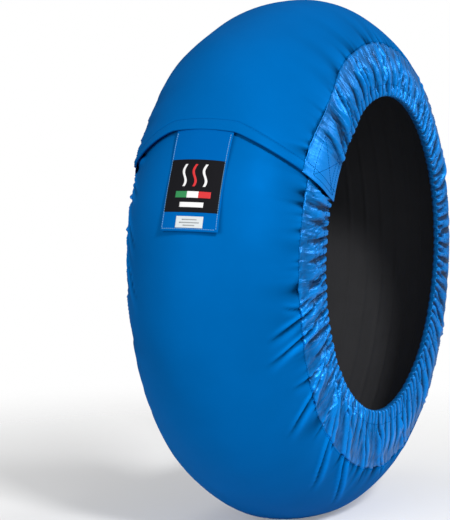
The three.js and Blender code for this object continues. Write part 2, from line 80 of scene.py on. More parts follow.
def place(theta, s, depth):
    """Angle round, distance across and depth below the outer face, to metres. Arrays or numbers."""
    theta, s, depth = np.broadcast_arrays(*[np.asarray(v, float) for v in (theta, s, depth)])
    d = np.abs(s)
    R, Y = np.interp(d, _fine, _R), np.interp(d, _fine, _Y)
    dR, dY = np.interp(d, _fine, _dR), np.interp(d, _fine, _dY)
    turn = np.radians(theta)
    radius = R - depth * dY
    reach = Y + depth * dR
    w = np.clip((SAG_RADIUS - R) / (SAG_RADIUS - HEM_RADIUS), 0, 1)
    lift = HEM_LIFT * w * w
    low = AXLE + R * np.sin(turn) + lift
    up = 0.5 * (-low + np.sqrt(low * low + FOOT_SOFTNESS))
    up = np.where(low > 40, 0, np.maximum(up - FOOT_DROP, 0))
    sign = np.where(s < 0, 1.0, -1.0)
    return np.stack(
        [-radius * np.cos(turn), sign * reach, AXLE + radius * np.sin(turn) + lift + up], -1
    ) * MM


def smooth(x, a, b):
    """A soft step from 0 at a to 1 at b."""
    t = np.clip((x - a) / (b - a), 0, 1)
    return t * t * (3 - 2 * t)


def noise(theta, s, length, seed, squeeze=1.0):
    """Smooth noise on the band, in cells of length mm. It closes over a turn."""
    g = np.random.default_rng(seed)
    around = max(4, int(round(2 * math.pi * 280 / length)))
    across = int(600 / (length * squeeze)) + 6
    table = g.standard_normal((around, across))
    u = (np.asarray(theta, float) / 360.0 % 1.0) * around
    v = (np.asarray(s, float) + 300) / (length * squeeze)
    i, j = np.floor(u).astype(int), np.floor(v).astype(int)
    fu, fv = u - i, v - j
    fu, fv = fu * fu * (3 - 2 * fu), fv * fv * (3 - 2 * fv)
    i0, i1 = i % around, (i + 1) % around
    j0, j1 = np.clip(j, 0, across - 1), np.clip(j + 1, 0, across - 1)
    low = table[i0, j0] * (1 - fu) + table[i1, j0] * fu
    high = table[i0, j1] * (1 - fu) + table[i1, j1] * fu
    return low * (1 - fv) + high * fv


def flap_edge(s):
    """Angle of the flap's edge, which slants back towards both sides."""
    return 31.2 - TURN - 0.054 * np.maximum(0, np.abs(s) - 40)


def raised(theta):
    """1 where the flap lies over the under end, and 0 past it."""
    return 1 - smooth(np.asarray(theta, float) + TURN, UNDER_END - 1, 70)


def seam_at(theta, side):
    """Where the seam of a skirt runs, across. The flap's end is narrower there than the under end."""
    part = np.clip((np.asarray(theta, float) - BAND_START) / BAND_SPAN, 0, 1)
    base = BAND_HALF + 15 * smooth(part, 0.02, 0.75)
    near_flap = 6 * np.exp(-(((part - 0.045) / 0.03) ** 2))
    return base + near_flap + (1.2 * noise(theta, 0, 60, 31 if side > 0 else 32))


# Long creases that run from the tread over the seam into a skirt: angle and distance across at three
# points, depth and width. They show most low on the near side.
CREASES = [
    ([-6, -8, -6], [112, 138, 160], 1.8, 3.0),
    ([-13, -11, -9], [92, 132, 172], 3.0, 3.6),
    ([-19, -16, -14], [88, 128, 172], 3.2, 3.6),
    ([-27, -28, -26], [112, 144, 178], 1.8, 3.0),
    ([-39, -33, -26], [92, 134, 188], 3.8, 4.6),
    ([-45, -43, -40], [118, 146, 180], 1.8, 3.2),
    ([-62, -51, -41], [82, 132, 190], 4.2, 5.0),
    ([-78, -65, -52], [78, 128, 190], 4.2, 5.2),
    ([-80, -76, -71], [118, 150, 186], 2.2, 3.6),
    ([-96, -88, -84], [116, 148, 188], 3.0, 4.0),
    ([-112, -108, -104], [118, 146, 184], 2.6, 3.6),
    ([-133, -129, -132], [118, 146, 180], 2.4, 3.6),
    ([-158, -154, -152], [112, 138, 175], 2.0, 3.6),
    ([-205, -208, -205], [112, 136, 178], 2.4, 4.0),
    ([-236, -238, -240], [116, 142, 182], 2.6, 3.6),
    ([-256, -258, -262], [126, 148, 186], 2.4, 3.6),
    ([-271, -272, -275], [120, 144, 188], 3.4, 4.6),
    ([-288, -290, -289], [128, 150, 184], 2.4, 3.6),
    ([-305, -307, -310], [126, 148, 188], 3.2, 4.4),
]


def creases(theta, s, side):
    """Depth of the long creases on one side, with the cloth raised beside each."""
    total = np.zeros(np.broadcast(theta, s).shape)
    near = s * side
    for k, (angles, across, depth, width) in enumerate(CREASES):
        shift = 0 if side > 0 else 37 + 5 * k
        a = np.interp(near, across, angles) + shift
        away = (theta - a) * math.pi / 180 * SIDE_MEAN + 1.5 * noise(theta, s, 22, 90 + k)
        begin = smooth(near, across[0], across[1]) ** 0.7
        taper = begin * (1 - smooth(near, across[2] - 14, across[2] + 4))
        valley = np.exp(-np.abs(away) / (0.62 * width))
        ridge = np.exp(-(((away - 1.3 * width) / (0.9 * width)) ** 2))
        ridge += 0.7 * np.exp(-(((away + 1.8 * width) / (1.6 * width)) ** 2))
        total += depth * taper * (1.45 * valley - 0.85 * ridge)
    return total


# helpers that make meshes
def make(name, points, faces, material, node=None, slot_name=None, fields=None):
    """A smooth-shaded mesh object on the root body, with the node it stands for; slot_name is not used."""
    mesh = bpy.data.meshes.new(name)
    mesh.from_pydata(np.asarray(points).reshape(-1, 3).tolist(), [], [list(map(int, f)) for f in faces])
    mesh.validate()
    mesh.update()
    for key, values in (fields or {}).items():
        mesh.attributes.new(key, "FLOAT", "POINT").data.foreach_set("value", values)
    obj = bpy.data.objects.new(name, mesh)
    bpy.context.scene.collection.objects.link(obj)
    mesh.materials.append(material)
    mesh.polygons.foreach_set("use_smooth", [True] * len(mesh.polygons))
    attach(obj, "root")
    if node:
        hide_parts(node)
    return obj


def sheet_faces(nu, nv):
    """Faces of a closed sheet whose outer points come first, each a grid of nu columns by nv rows."""
    i, j = np.meshgrid(np.arange(nu - 1), np.arange(nv - 1), indexing="ij")
    a = (i * nv + j).ravel()
    n = nu * nv
    outer = np.stack([a, a + 1, a + nv + 1, a + nv], -1)
    inner = outer[:, ::-1] + n
    faces = [outer, inner]
    u = np.arange(nu - 1) * nv
    for low, flip in ((u, False), (u + nv - 1, True)):
        q = np.stack([low, low + nv, low + nv + n, low + n], -1)
        faces.append(q[:, ::-1] if flip else q)
    v = np.arange(nv - 1)
    for low, flip in ((v, True), (v + (nu - 1) * nv, False)):
        q = np.stack([low, low + 1, low + 1 + n, low + n], -1)
        faces.append(q[:, ::-1] if flip else q)
    return np.concatenate(faces)


def sheet(name, outer, inner, material, fields=None, **more):
    """A closed sheet from two grids of points, columns round and rows across. The fields are values
    that its material reads, as grids for the outer face."""
    nu, nv = outer.shape[:2]
    unread = np.full(nu * nv, 0.5)
    more["fields"] = {key: np.append(grid.ravel(), unread) for key, grid in (fields or {}).items()}
    points = np.concatenate([outer.reshape(-1, 3), inner.reshape(-1, 3)])
    return make(name, points, sheet_faces(nu, nv), material, **more)


def laid(name, angles, across, top, thickness, material, nu=24, nv=24, bow=None, **more):
    """A patch between two angles and two distances, with its top at a depth or a function of the grid."""
    th, s = np.meshgrid(np.linspace(*angles, nu), np.linspace(*across, nv), indexing="ij")
    if bow is not None:
        th, s = bow(th, s)
    d = top(th, s) if callable(top) else np.full(th.shape, float(top))
    return sheet(name, place(th, s, d), place(th, s, d + thickness), material, **more)


def normals(grid):
    """Unit normals of a grid of points."""
    du = np.gradient(grid, axis=0)
    dv = np.gradient(grid, axis=1)
    n = np.cross(du, dv)
    return n / np.maximum(np.linalg.norm(n, axis=-1, keepdims=True), 1e-12)


def tube(name, path, radius, material, sides=8, **more):
    """A closed round rod along points in metres."""
    path = np.asarray(path)
    tangent = np.gradient(path, axis=0)
    tangent /= np.linalg.norm(tangent, axis=1, keepdims=True)
    centre = np.array([0, 0, AXLE * MM])
    ref = path - centre
    side = np.cross(tangent, ref)
    side /= np.linalg.norm(side, axis=1, keepdims=True)
    up = np.cross(side, tangent)
    ang = np.linspace(0, 2 * math.pi, sides, endpoint=False)
    ring = path[:, None] + radius * (
        np.cos(ang)[None, :, None] * side[:, None] + np.sin(ang)[None, :, None] * up[:, None]
    )
    n = len(path)
    faces = []
    for i in range(n - 1):
        for j in range(sides):
            a, b = i * sides + j, i * sides + (j + 1) % sides
            faces.append([a, b, b + sides, a + sides])
    faces.append(list(range(sides))[::-1])
    faces.append([(n - 1) * sides + j for j in range(sides)])
    return make(name, ring.reshape(-1, 3), faces, material, **more)


def stitches(name, path, normal, material, pitch, length, radius):
    """Thread laid along a path in short raised dashes."""
    path, normal = np.asarray(path), np.asarray(normal)
    step = np.linalg.norm(np.diff(path, axis=0), axis=1)
    along = np.append(0, np.cumsum(step))
    starts = np.arange(0, along[-1] - length * MM, pitch * MM)
    at = lambda t: np.stack([np.interp(t, along, path[:, k]) for k in range(3)], -1)
    nor = lambda t: np.stack([np.interp(t, along, normal[:, k]) for k in range(3)], -1)
    rings = []
    sides = 6
    share = np.array([0.0, 0.12, 0.5, 0.88, 1.0])
    fat = np.array([0.25, 0.85, 1.0, 0.85, 0.25])
    rise = np.array([-0.6, 0.1, 0.5, 0.1, -0.6])
    ang = np.linspace(0, 2 * math.pi, sides, endpoint=False)
    cosines = np.cos(ang)[None, :, None]
    sines = np.sin(ang)[None, :, None]
    for h, f, r in zip(share, fat, rise):
        t = starts + h * length * MM
        p, n = at(t), nor(t)
        ahead = at(t + 0.3 * MM) - at(t - 0.3 * MM)
        ahead /= np.maximum(np.linalg.norm(ahead, axis=1, keepdims=True), 1e-9)
        n = n - (n * ahead).sum(1, keepdims=True) * ahead
        n /= np.linalg.norm(n, axis=1, keepdims=True)
        b = np.cross(ahead, n)
        c = p + n * (r * radius * MM)
        rings.append(c[:, None] + f * radius * MM * (cosines * b[:, None] + sines * n[:, None]))
    rings = np.stack(rings, 1)
    points = rings.reshape(-1, 3)
    faces = []
    for m in range(len(starts)):
        base = m * len(share) * sides
        for k in range(len(share) - 1):
            for j in range(sides):
                a, b2 = base + k * sides + j, base + k * sides + (j + 1) % sides
                faces.append([a, b2, b2 + sides, a + sides])
        faces.append([base + j for j in range(sides)][::-1])
        faces.append([base + (len(share) - 1) * sides + j for j in range(sides)])
    return make(name, points, faces, material)


# materials
def material(name, base, rough, build, metal=0.0, spec=0.5):
    """A material of one colour, whose build function adds its texture."""
    m = bpy.data.materials.new(name)
    m.use_nodes = True
    nt = m.node_tree
    b = nt.nodes["Principled BSDF"]
    b.inputs["Base Color"].default_value = (*base, 1)
    b.inputs["Roughness"].default_value = rough
    b.inputs["Metallic"].default_value = metal
    b.inputs["Specular IOR Level"].default_value = spec
    build(nt, b, base, rough)
    return m


def node(nt, kind, **inputs):
    """A shader node with its settings and the values of its inputs."""
    n = nt.nodes.new(kind)
    for key, value in inputs.items():
        if key in ("operation", "feature"):
            setattr(n, key, value)
        else:
            n.inputs[key.replace("_", " ")].default_value = value
    return n


def vary(nt, b, base, amount, scale):
    """Slow changes of tone over a surface."""
    co = nt.nodes.new("ShaderNodeTexCoord")
    tex = node(nt, "ShaderNodeTexNoise", Scale=scale, Detail=4.0)
    ramp = nt.nodes.new("ShaderNodeValToRGB")
    ramp.color_ramp.elements[0].color = (*[c * (1 - amount) for c in base], 1)
    ramp.color_ramp.elements[1].color = (*[min(1, c * (1 + amount)) for c in base], 1)
    ramp.color_ramp.elements[0].position = 0.3
    ramp.color_ramp.elements[1].position = 0.7
    nt.links.new(co.outputs["Object"], tex.inputs["Vector"])
    nt.links.new(tex.outputs["Fac"], ramp.inputs["Fac"])
    nt.links.new(ramp.outputs["Color"], b.inputs["Base Color"])
    return co


def add_bumps(nt, b, co, layers):
    """Stacked bumps, each a texture output, a strength and a height in metres. A strength that is a
    word names the mesh's value that gives it."""
    last = None
    for output, strength, height in layers:
        bump = node(nt, "ShaderNodeBump", Distance=height)
        if isinstance(strength, str):
            slack = nt.nodes.new("ShaderNodeAttribute")
            slack.attribute_name = strength
            nt.links.new(slack.outputs["Fac"], bump.inputs["Strength"])
        else:
            bump.inputs["Strength"].default_value = strength
        nt.links.new(output, bump.inputs["Height"])
        if last is not None:
            nt.links.new(last.outputs["Normal"], bump.inputs["Normal"])
        last = bump
    nt.links.new(last.outputs["Normal"], b.inputs["Normal"])


WEAVE_PITCH = 0.0009


def weave(nt, co):
    """Plain weave, as the product of two fine waves in a turned frame."""
    turn = node(nt, "ShaderNodeMapping")
    turn.inputs["Rotation"].default_value = (0.6, 0.9, 0.4)
    nt.links.new(co.outputs["Object"], turn.inputs["Vector"])
    waves = []
    for direction in ("X", "Y"):
        w = node(nt, "ShaderNodeTexWave", Scale=1 / WEAVE_PITCH / 3.2, Distortion=0.4, Detail=1.0)
        w.bands_direction = direction
        nt.links.new(turn.outputs["Vector"], w.inputs["Vector"])
        waves.append(w)
    mix = node(nt, "ShaderNodeMath", operation="MULTIPLY")
    nt.links.new(waves[0].outputs["Fac"], mix.inputs[0])
    nt.links.new(waves[1].outputs["Fac"], mix.inputs[1])
    return mix.outputs[0]


def radial_crinkle(nt, co, length, stretch):
    """Height of sharp-edged crinkles, drawn out towards the axle. It works in polar coordinates."""
    parts = nt.nodes.new("ShaderNodeSeparateXYZ")
    nt.links.new(co.outputs["Object"], parts.inputs[0])
    height = node(nt, "ShaderNodeMath", operation="SUBTRACT")
    height.inputs[1].default_value = (AXLE + HEM_LIFT) * MM
    nt.links.new(parts.outputs["Z"], height.inputs[0])
    angle = node(nt, "ShaderNodeMath", operation="ARCTAN2")
    nt.links.new(height.outputs[0], angle.inputs[0])
    nt.links.new(parts.outputs["X"], angle.inputs[1])
    reach = node(nt, "ShaderNodeVectorMath", operation="LENGTH")
    flat = nt.nodes.new("ShaderNodeCombineXYZ")
    nt.links.new(parts.outputs["X"], flat.inputs["X"])
    nt.links.new(height.outputs[0], flat.inputs["Y"])
    nt.links.new(flat.outputs[0], reach.inputs[0])
    polar = nt.nodes.new("ShaderNodeCombineXYZ")
    for source, target, size in (
        (angle.outputs[0], "X", 0.26 / length),
        (reach.outputs["Value"], "Y", 1 / (length * stretch)),
        (parts.outputs["Y"], "Z", 0.2 / length),
    ):
        scaled = node(nt, "ShaderNodeMath", operation="MULTIPLY")
        scaled.inputs[1].default_value = size
        nt.links.new(source, scaled.inputs[0])
        nt.links.new(scaled.outputs[0], polar.inputs[target])
    bend = node(nt, "ShaderNodeTexNoise", Scale=0.35, Detail=2.0)
    nt.links.new(polar.outputs[0], bend.inputs["Vector"])
    bent = node(nt, "ShaderNodeVectorMath", operation="MULTIPLY_ADD")
    bent.inputs[1].default_value = (2.6, 1.2, 1.0)
    nt.links.new(bend.outputs["Color"], bent.inputs[0])
    nt.links.new(polar.outputs[0], bent.inputs[2])
    cells = node(nt, "ShaderNodeTexVoronoi", feature="F1", Scale=1.0, Randomness=1.0)
    nt.links.new(bent.outputs[0], cells.inputs["Vector"])
    return cells.outputs["Distance"]


def nylon(crinkle, painted_fold_shade=False, crisp=False):
    """Woven nylon. Folded cloth gets painted shade in its valleys and painted light on its crests, and
    crisp cloth has fine radial crinkles.
    """

    def build(nt, b, base, rough):
        co = vary(nt, b, base, 0.06, 9.0)
        if painted_fold_shade:
            # painted shade and light: valleys darker and crests lighter, by the mesh's own fold value
            value = nt.nodes.new("ShaderNodeAttribute")
            value.attribute_name = "fold_and_shade"
            tone = node(nt, "ShaderNodeMapRange")
            tone.inputs["To Min"].default_value = 0.22
            tone.inputs["To Max"].default_value = 1.58
            scaled = node(nt, "ShaderNodeVectorMath", operation="SCALE")
            nt.links.new(value.outputs["Fac"], tone.inputs["Value"])
            nt.links.new(b.inputs["Base Color"].links[0].from_socket, scaled.inputs[0])
            nt.links.new(tone.outputs["Result"], scaled.inputs["Scale"])
            nt.links.new(scaled.outputs["Vector"], b.inputs["Base Color"])
        fine = node(nt, "ShaderNodeTexNoise", Scale=70.0, Detail=5.0, Roughness=0.55)
        nt.links.new(co.outputs["Object"], fine.inputs["Vector"])
        layers = [(weave(nt, co), 0.25, 0.00006), (fine.outputs["Fac"], crinkle, 0.0012)]
        if crisp:
            layers.append((radial_crinkle(nt, co, 0.0085, 5.0), "slack", 0.0021))
            layers.append((radial_crinkle(nt, co, 0.0050, 3.5), "slack", 0.0005))
        add_bumps(nt, b, co, layers)
        gloss = node(nt, "ShaderNodeMapRange")
        gloss.inputs["To Min"].default_value = rough - 0.06
        gloss.inputs["To Max"].default_value = rough + 0.08
        nt.links.new(fine.outputs["Fac"], gloss.inputs["Value"])
        nt.links.new(gloss.outputs["Result"], b.inputs["Roughness"])

    return build


def rough_cloth(scale, strength, height, amount=0.1):
    """A surface with fine noise as its only bump."""

    def build(nt, b, base, rough):
        co = vary(nt, b, base, amount, 30.0)
        fine = node(nt, "ShaderNodeTexNoise", Scale=scale, Detail=6.0, Roughness=0.7)
        nt.links.new(co.outputs["Object"], fine.inputs["Vector"])
        add_bumps(nt, b, co, [(fine.outputs["Fac"], strength, height)])

    return build


cover_mat = material(
    "cover_nylon", (0.0, 0.132, 0.445), 0.50, nylon(0.05, painted_fold_shade=True), metal=0.14, spec=0.0
)
skirt_mat = material(
    "skirt_nylon",
    (0.0, 0.156, 0.505),
    0.34,
    nylon(0.06, painted_fold_shade=True, crisp=True),
    metal=0.32,
    spec=0.14,
)
tab_mat = material("tab_nylon", (0.0, 0.115, 0.410), 0.5, nylon(0.05), metal=0.15, spec=0.0)
thread_mat = material("blue_thread", (0.0, 0.070, 0.26), 0.7, rough_cloth(900, 0.4, 0.0002), spec=0.0)
light_thread_mat = material("light_thread", (0.16, 0.42, 0.72), 0.6, rough_cloth(900, 0.4, 0.0002))
lining_mat = material("lining_cloth", (0.016, 0.016, 0.018), 0.85, rough_cloth(420, 0.5, 0.0006))
felt_mat = material("felt", (0.42, 0.40, 0.36), 0.95, rough_cloth(500, 0.8, 0.001))
tape_mat = material("tape", (0.006, 0.006, 0.007), 0.95, rough_cloth(700, 1.0, 0.001))
label_mat = material("label_weave", (0.005, 0.005, 0.007), 0.7, rough_cloth(1400, 0.3, 0.0002), spec=0.12)
care_mat = material("care_satin", (0.62, 0.66, 0.68), 0.5, rough_cloth(1400, 0.3, 0.0002, 0.03))
white_mat = material("print_white", (0.80, 0.80, 0.80), 0.6, rough_cloth(1400, 0.3, 0.0002, 0.03))
red_mat = material("print_red", (0.62, 0.012, 0.015), 0.6, rough_cloth(1400, 0.3, 0.0002, 0.03))
green_mat = material("print_green", (0.01, 0.22, 0.06), 0.6, rough_cloth(1400, 0.3, 0.0002, 0.03))
grey_mat = material("print_grey", (0.30, 0.32, 0.33), 0.6, rough_cloth(1400, 0.3, 0.0002, 0.03))
rubber_mat = material("grommet_rubber", (0.012, 0.012, 0.012), 0.6, rough_cloth(300, 0.3, 0.0003))
wire_mat = material("heater_wire", (0.16, 0.06, 0.03), 0.5, rough_cloth(300, 0.2, 0.0002))
case_mat = material(
    "thermostat_case", (0.6, 0.6, 0.6), 0.35, rough_cloth(200, 0.1, 0.0001, 0.05), metal=0.9
)
redlead_mat = material("red_sleeve", (0.35, 0.02, 0.015), 0.5, rough_cloth(300, 0.2, 0.0002))
blacklead_mat = material("black_sleeve", (0.012, 0.012, 0.014), 0.5, rough_cloth(300, 0.2, 0.0002))

# outer cover with its flap
COVER = 2.4  # thickness
PUCKER = 1.75  # depth of the puckers at the seam
DENT = 0.9  # depth of the wider dents behind them


def columns(step, s):
    """Angles from the flap's slanting edge to the under end, for each distance across."""
    count = int(380 / step)
    first = flap_edge(0.0)
    dense = np.linspace(first, first + 6, 41)[:-1]
    fixed = np.append(dense, np.linspace(first + 6, UNDER_END, count - 40))
    t = (fixed - first) / (UNDER_END - first)
    start = flap_edge(np.asarray(s, float))
    return fixed[:, None] + (start - flap_edge(0.0))[None, :] * (1 - smooth(t, 0, 0.10))[:, None]


# the rows across lie closer together near the seams, where the puckers are
half = np.linspace(0, 1, 25)
half = 1.6 * half - 0.6 * half**2
share = np.append(-half[:0:-1], half)
th0 = columns(0.44, share * BAND_HALF)
edge_near = seam_at(th0, 1)
edge_far = seam_at(th0, -1)
s_c = np.where(share[None, :] > 0, share[None, :] * edge_near, share[None, :] * edge_far)


def cover_depth(theta, s):
    """How far the cover's outer face lies below the nominal one, before the flap lifts it."""
    side_edge = np.where(s > 0, seam_at(theta, 1), seam_at(theta, -1))
    inward = np.maximum(side_edge - np.abs(s), 0)
    d = 0.9 * noise(theta, s, 90, 3) + 0.35 * noise(theta, s, 34, 4)
    d = d * smooth(inward, 4, 40)
    return d + 0.5 * np.exp(-inward / 3.0) + cover_folds(theta, s)


def cover_folds(theta, s):
    """Puckers along the seams and the long creases, as depth."""
    side_edge = np.where(s > 0, seam_at(theta, 1), seam_at(theta, -1))
    inward = np.maximum(side_edge - np.abs(s), 0)
    pucker = noise(theta, s * 0.12, 7.0, 5, 1.2) + 0.6 * noise(theta, s * 0.1, 4.6, 6, 1.2)
    reach = 7.0 + 4.0 * np.clip(noise(theta, 0, 30, 7), -1, 2)
    d = PUCKER * np.maximum(pucker, -0.3) * np.exp(-inward / reach)
    broad = noise(theta + s * 0.02, s * 0.2, 17, 8, 1.5)
    d += DENT * np.maximum(broad, -0.4) * np.exp(-inward / 20.0)
    return d + creases(theta, s, 1) * (s > 0) + creases(theta, s, -1) * (s < 0)


def flap_lift(theta, s):
    """Lift of the flap over the under end, with its hem and the topstitching's groove."""
    r = raised(theta)
    from_edge = (theta - flap_edge(s)) * math.pi / 180 * FLAP_MEAN
    hem = 0.35 * (1 - smooth(from_edge, 10, 15)) - 0.75 * np.exp(-(((from_edge - 14.0) / 1.3) ** 2))
    rounding = -0.7 * np.exp(-from_edge / 0.8)
    curl = 1.6 * np.exp(-from_edge / 12.0) * (0.6 + 0.4 * noise(theta * 0, s, 60, 12))
    return (FLAP_RISE + 0.2) * r + (hem + rounding + curl) * (from_edge < 60)


d_c = cover_depth(th0, s_c) - flap_lift(th0, s_c)
clear = 1 - raised(th0)
outer_c = place(th0, s_c, d_c)
# under the flap the inner face stays clear of the tapes and the under end
limit = np.where(clear < 0.99, -3.4 * (1 - clear) + 60 * clear, 60)
inner_c = place(th0, s_c, np.minimum(d_c + COVER, limit))
# painted shade in the cover's puckers and creases, and painted light on their raised sides, as its fold
# value
cover_painted_shade = np.clip(0.5 - cover_folds(th0, s_c) / 3.4, 0, 1)
cover = sheet(
    "cover",
    outer_c,
    inner_c,
    cover_mat,
    {"fold_and_shade": cover_painted_shade},
    node="outer_cover",
    slot_name="cover_nylon",
)

# pad and lining
ring = np.linspace(UNDER_END + 1.5 - TURN, UNDER_END, 181)
sp = np.linspace(-100, 100, 31)
tp, spg = np.meshgrid(ring, sp, indexing="ij")
round_off = 2.4 * np.clip((np.abs(spg) - 92) / 8, 0, 1) ** 2
pad = sheet(
    "insulation_felt",
    place(tp, spg, 3.6 + round_off),
    place(tp, spg, 9.2 - round_off),
    felt_mat,
    node="insulation_pad",
    slot_name="insulation_felt",
)

sl = np.linspace(-129, 129, 96)
lining_ring = np.linspace(UNDER_END + 1.5 - TURN, UNDER_END, 330)
tl, slg = np.meshgrid(lining_ring, sl, indexing="ij")
edge_in = 1 - smooth(np.abs(slg), 103, 129)
quilt = sum(np.exp(-(((slg - c) / 2.0) ** 2)) for c in (-100, -62, -37, -12, 12, 37, 62, 100))
puff = 1.5 * (1 - np.clip(quilt, 0, 1)) * edge_in
puff += 0.5 * noise(tl, slg * 0.4, 9, 21) * np.clip(quilt, 0, 1) * edge_in
puff += 0.45 * noise(tl, slg, 26, 22) * edge_in
d_l = 4.4 + 7.8 * edge_in + puff
lining = sheet(
    "lining",
    place(tl, slg, d_l - 0.9),
    place(tl, slg, d_l),
    lining_mat,
    node="inner_lining",
    slot_name="lining_cloth",
)

# gathered skirts
COLS = 1100
ROWS = 34
SKIRT = 0.45  # thickness
FOLD_ENDS = (-330, 53)
# how many folds go round, and how deep they are, at the hem, halfway and at the seam
HEM_FOLDS, MID_FOLDS, SEAM_FOLDS = 118, 66, 96
HEM_DEPTH, MID_DEPTH, SEAM_DEPTH = 2.2, 4.2, 0.9
SKIRT_CREASE = 1.6  # how much deeper the long creases are in a skirt than in the cover


def gathered_skirt(name, side, seed, node_name):
    """A straight strip sewn to the band's seam and drawn in by the hem's elastic. It is relaxed as
    cloth: every length is held, so the extra length at the hem has to go into folds."""
    g = np.random.default_rng(seed)
    v = np.linspace(0, 1, ROWS)
    t = np.linspace(0, 1, COLS)
    fixed = np.linspace(flap_edge(0.0), UNDER_END, COLS)
    seam0 = seam_at(fixed, side)
    s = seam0[:, None] + (HEM_S - seam0)[:, None] * v[None, :]
    start = flap_edge(s)
    th = fixed[:, None] + (start - flap_edge(0.0)) * (1 - smooth(t, 0, 0.10))[:, None]
    lift = (FLAP_RISE - 0.6) * raised(th)
    base = lambda th, s, d: place(th, s * side, d) * 1000
    X = base(th, s, -lift + 1.0 - 0.5 * v[None, :])
    N = normals(X) * (1 if side > 0 else -1)
    # the normals point away from the wheel
    check = (X[COLS // 2, ROWS // 2] - [0, 0, AXLE]) * [0, 1, 0]
    if np.dot(N[COLS // 2, ROWS // 2], check) < 0:
        N = -N
    flat_zone = smooth(fixed + TURN, 39.0, 44.5) * (1 - smooth(fixed, 44, 51))

    # seed folds with a wandering pitch, more of them at the hem than at the seam
    def wander(key, size, count):
        k = np.random.default_rng(key).normal(0, size, count)
        even = np.convolve(np.pad(k, 1, "edge"), [0.25, 0.5, 0.25], "valid")
        return np.interp(fixed, np.linspace(*FOLD_ENDS, count), even)

    def drift(key, count=70):
        k = np.random.default_rng(key).normal(0, 0.9, count)
        return np.interp(fixed, np.linspace(*FOLD_ENDS, count), np.cumsum(k))

    slant = wander(seed + 9, 5.0, 26)
    arc = lambda count, key: (count * 2 * math.pi * (fixed / 360) + drift(key))[:, None]
    hem_phase = arc(HEM_FOLDS, seed + 1) + slant[:, None] * (v[None, :] - 1)
    mid_phase = arc(MID_FOLDS, seed + 2) + slant[:, None] * 0.7 * (v[None, :] - 0.5)
    seam_phase = arc(SEAM_FOLDS, seed + 3)
    # rounded crests over pinched valleys
    wave = lambda p: 1.9 * np.abs(np.sin(p / 2)) ** 0.75 - 1.25
    w_hem = smooth(v, 0.62, 1.0)[None, :]
    w_seam = 1 - smooth(v, 0.0, 0.30)[None, :]
    w_mid = np.clip(1 - w_hem - w_seam, 0, 1)
    # low on the wheel the half next to the seam lies smooth
    low = smooth(th, -98, -82) * (1 - smooth(th, -30, -18))
    calm = 1 - 0.8 * low * (1 - smooth(v, 0.35, 0.8))[None, :]
    strong = (0.25 + 1.15 * smooth(noise(th, s, 34, seed + 5, 3.0), -1.2, 1.4)) * calm
    grow = 0.15 + 0.85 * smooth(v, 0.0, 0.45)[None, :]
    fold_and_shade = HEM_DEPTH * w_hem * wave(hem_phase)
    fold_and_shade = fold_and_shade + MID_DEPTH * w_mid * grow * strong * wave(mid_phase)
    fold_and_shade = fold_and_shade + SEAM_DEPTH * w_seam * wave(seam_phase)
    fold_and_shade = fold_and_shade + 0.7 * noise(th, s, 16, seed + 6, 2.2) * (1 - w_seam)
    fold_and_shade = fold_and_shade + 0.08 * g.standard_normal(fold_and_shade.shape)
    X = X + N * (fold_and_shade * flat_zone[:, None])[..., None]
    edge_d = cover_depth(fixed, side * (seam0 - 0.3)) - flap_lift(fixed, side * seam0)
    X[:, 0] = base(th[:, 0], s[:, 0], edge_d + 0.1)
    floor = base(th, s, -lift + 0.9 + 1.7 * smooth(v, 0.0, 0.2)[None, :])
    seam_row = X[:, 0].copy()
    # rest lengths of the flat strip
    along = np.linalg.norm(np.diff(base(th[:, :1], s[:, :1], -lift[:, :1]), axis=0), axis=-1)
    zone = 0.5 * (flat_zone[1:] + flat_zone[:-1])
    true_u = np.linalg.norm(np.diff(base(th, s, -lift), axis=0), axis=-1)
    share_u = zone[:, None] * calm[1:]
    longer = (1.01 + 0.09 * smooth(v, 0.0, 0.5))[None, :]
    rest_u = true_u * (1 - share_u) + along * longer * share_u
    true_v = np.linalg.norm(np.diff(base(th, s, -lift), axis=1), axis=-1)
    rest_v = true_v * (1 + 0.015 * flat_zone[:, None])
    rest_d = np.hypot(rest_u[:, :-1], 0.5 * (rest_v[1:] + rest_v[:-1]))
    rest_2 = rest_u[1:] + rest_u[:-1]
    hem_line = base(th[:, -1], s[:, -1], -lift[:, -1] + 0.6)
    count = np.zeros(X.shape[:2] + (1,))

    def hold(a, b, rest, stiff, short_only=False):
        """Draw points a and b towards their rest length, or only apart."""
        diff = X[b] - X[a]
        length = np.linalg.norm(diff, axis=-1, keepdims=True)
        err = (length - rest[..., None]) / np.maximum(length, 1e-9)
        if short_only:
            err = np.minimum(err, 0)
        shift = 0.5 * stiff * err * diff
        move[a] += shift
        move[b] -= shift
        count[a] += stiff
        count[b] += stiff

    # weave, bias and three bending terms, each as points a, points b, rest length and stiffness
    part = np.s_
    rest_4 = (rest_2[2:] + rest_2[:-2]) * 0.80
    rest_3 = (rest_v[:, :-2] + rest_v[:, 1:-1] + rest_v[:, 2:]) * 0.985
    for _ in range(110):
        move = np.zeros_like(X)
        count[:] = 0.001
        hold(part[:-1, :], part[1:, :], rest_u, 1.0)
        hold(part[:, :-1], part[:, 1:], rest_v, 1.0)
        hold(part[:-1, :-1], part[1:, 1:], rest_d, 0.35)
        hold(part[1:, :-1], part[:-1, 1:], rest_d, 0.35)
        hold(part[:-2, :], part[2:, :], rest_2 * 0.93, 0.5, True)
        hold(part[:-4, :], part[4:, :], rest_4, 0.5, True)
        hold(part[:, :-3], part[:, 3:], rest_3, 0.5, True)
        X = X + 1.5 * move / count
        # the wheel and tyre below, and the pull of the elastic
        out = np.sum((X - floor) * N, axis=-1)
        X += N * (np.maximum(0.0 - out, 0) - 0.03 * np.maximum(out - 5.5, 0))[..., None]
        X[:, 0] = seam_row
        X[:, -1] += 0.25 * (hem_line - X[:, -1]) * np.array([1, 0.25, 1])
        keep = (1 - flat_zone)[:, None, None] * 0.4
        X = X * (1 - keep) + keep * base(th, s, -lift + 1.2)
